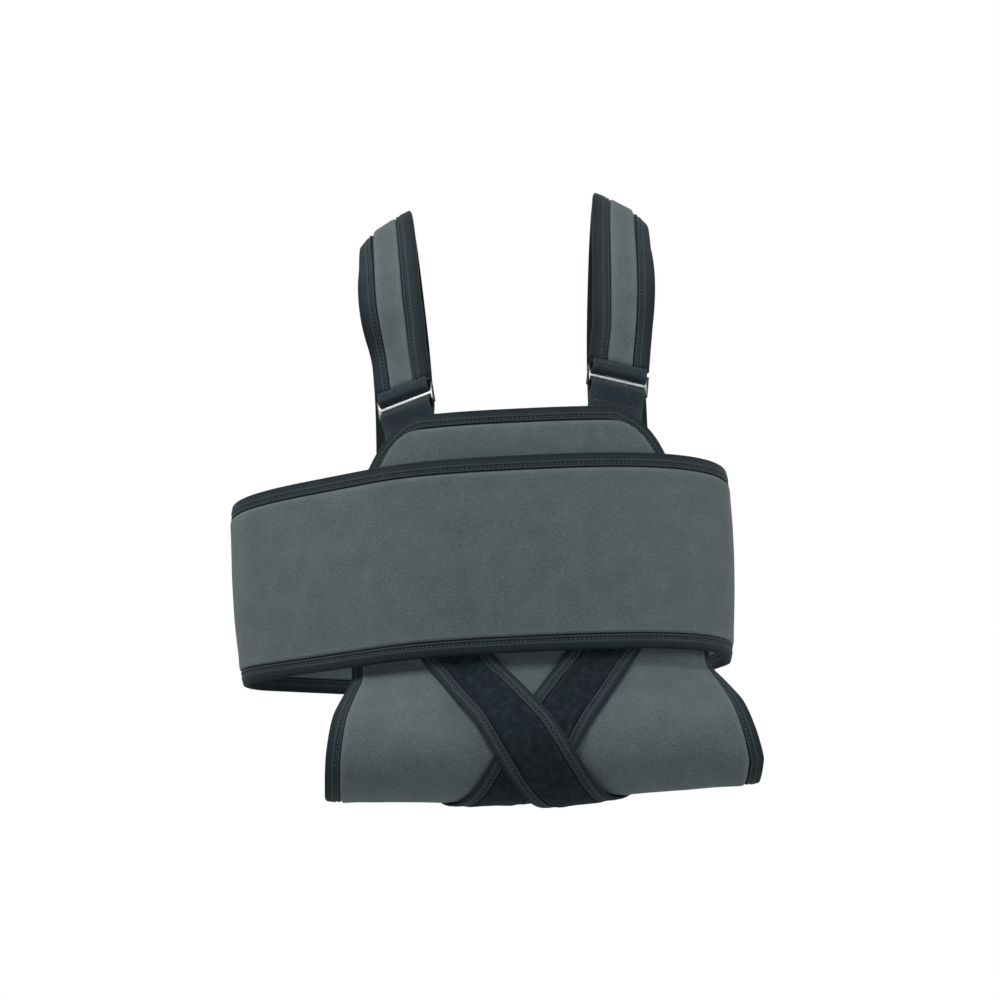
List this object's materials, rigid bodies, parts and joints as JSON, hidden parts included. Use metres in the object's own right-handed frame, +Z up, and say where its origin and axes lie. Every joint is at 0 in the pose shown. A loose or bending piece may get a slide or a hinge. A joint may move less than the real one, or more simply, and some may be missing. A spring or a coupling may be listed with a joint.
{
  "type": "arm sling",
  "caption": "Padded arm sling: forearm pouch with crossed straps, chest panel, buckled shoulder straps and a wide body belt with hook-and-loop closures.",
  "frame": {"origin": "on the wearer's spine line at the middle of the belt's height, where the wearer's torso passes through the belt", "axes": "the wearer faces -Y, +X is to the right seen from the front, +Z is up"},
  "size_m": [0.4052, 0.3022, 0.5132],
  "materials": {
    "grey_foam_fabric": "brushed loop-faced knit laminated to foam",
    "black_binding_tape": "woven edge tape and webbing",
    "black_loop_pile": "brushed loop pile",
    "black_hook_tape": "moulded hook tape",
    "plated_buckle": "plated wire-form buckle"
  },
  "bodies": {
    "sling": {"belt_panel": "grey_foam_fabric", "belt_top_binding": "black_binding_tape", "belt_bottom_binding": "black_binding_tape", "belt_inner_end_binding": "black_binding_tape", "belt_loop_patch": "black_loop_pile", "pouch_front_panel": "grey_foam_fabric", "pouch_left_binding": "black_binding_tape", "pouch_right_binding": "black_binding_tape", "pouch_back_panel": "grey_foam_fabric", "pouch_back_binding": "black_binding_tape", "cross_strap_over": "black_loop_pile", "cross_strap_over_left_binding": "black_binding_tape", "cross_strap_over_right_binding": "black_binding_tape", "cross_strap_under": "black_loop_pile", "cross_strap_under_left_binding": "black_binding_tape", "cross_strap_under_right_binding": "black_binding_tape", "left_shoulder_pad": "grey_foam_fabric", "left_shoulder_inner_binding": "black_binding_tape", "left_shoulder_outer_binding": "black_binding_tape", "left_strap_end_loop": "black_binding_tape", "left_front_tab": "black_binding_tape", "right_shoulder_pad": "grey_foam_fabric", "right_shoulder_inner_binding": "black_binding_tape", "right_shoulder_outer_binding": "black_binding_tape", "right_strap_end_loop": "black_binding_tape", "right_front_tab": "black_binding_tape"},
    "belt_flap": {"belt_flap": "grey_foam_fabric", "belt_flap_top_binding": "black_binding_tape", "belt_flap_bottom_binding": "black_binding_tape", "belt_flap_end_binding": "black_binding_tape", "belt_hook_patch": "black_hook_tape"},
    "left_rear_tab": {"left_rear_tab": "black_binding_tape", "left_rear_hook": "black_hook_tape"},
    "left_strap_tail": {"left_strap_tail": "black_binding_tape", "left_strap_tail_hook": "black_hook_tape"},
    "left_buckle": {"left_buckle": "plated_buckle"},
    "right_rear_tab": {"right_rear_tab": "black_binding_tape", "right_rear_hook": "black_hook_tape"},
    "right_strap_tail": {"right_strap_tail": "black_binding_tape", "right_strap_tail_hook": "black_hook_tape"},
    "right_buckle": {"right_buckle": "plated_buckle"}
  },
  "joints": [
    {"name": "belt_flap_hinge", "type": "hinge", "parent": "sling", "child": "belt_flap", "pos_m": [-0.05799, 0.1368, 0], "axis": [0, 0.0366, 0.9993], "range_deg": [0, 110]},
    {"name": "left_rear_tab_hinge", "type": "hinge", "parent": "sling", "child": "left_rear_tab", "pos_m": [-0.09513, 0.13733, 0.085], "axis": [0.9427, 0.3336, 0], "range_deg": [0, 110]},
    {"name": "left_strap_tail_hinge", "type": "hinge", "parent": "sling", "child": "left_strap_tail", "pos_m": [-0.08137, -0.06866, 0.15114], "axis": [-0.8764, 0.4429, -0.189], "range_deg": [0, 95]},
    {"name": "left_buckle_hinge", "type": "hinge", "parent": "sling", "child": "left_buckle", "pos_m": [-0.08381, -0.07831, 0.13979], "axis": [0.8764, -0.4429, 0.189], "range_deg": [-8, 8]},
    {"name": "right_rear_tab_hinge", "type": "hinge", "parent": "sling", "child": "right_rear_tab", "pos_m": [0.0923, 0.12937, 0.085], "axis": [0.9428, -0.3335, 0], "range_deg": [0, 110]},
    {"name": "right_strap_tail_hinge", "type": "hinge", "parent": "sling", "child": "right_strap_tail", "pos_m": [0.0831, -0.07344, 0.15914], "axis": [-0.9367, -0.2948, 0.189], "range_deg": [0, 95]},
    {"name": "right_buckle_hinge", "type": "hinge", "parent": "sling", "child": "right_buckle", "pos_m": [0.08394, -0.08336, 0.14779], "axis": [0.9367, 0.2948, -0.189], "range_deg": [-8, 8]}
  ]
}
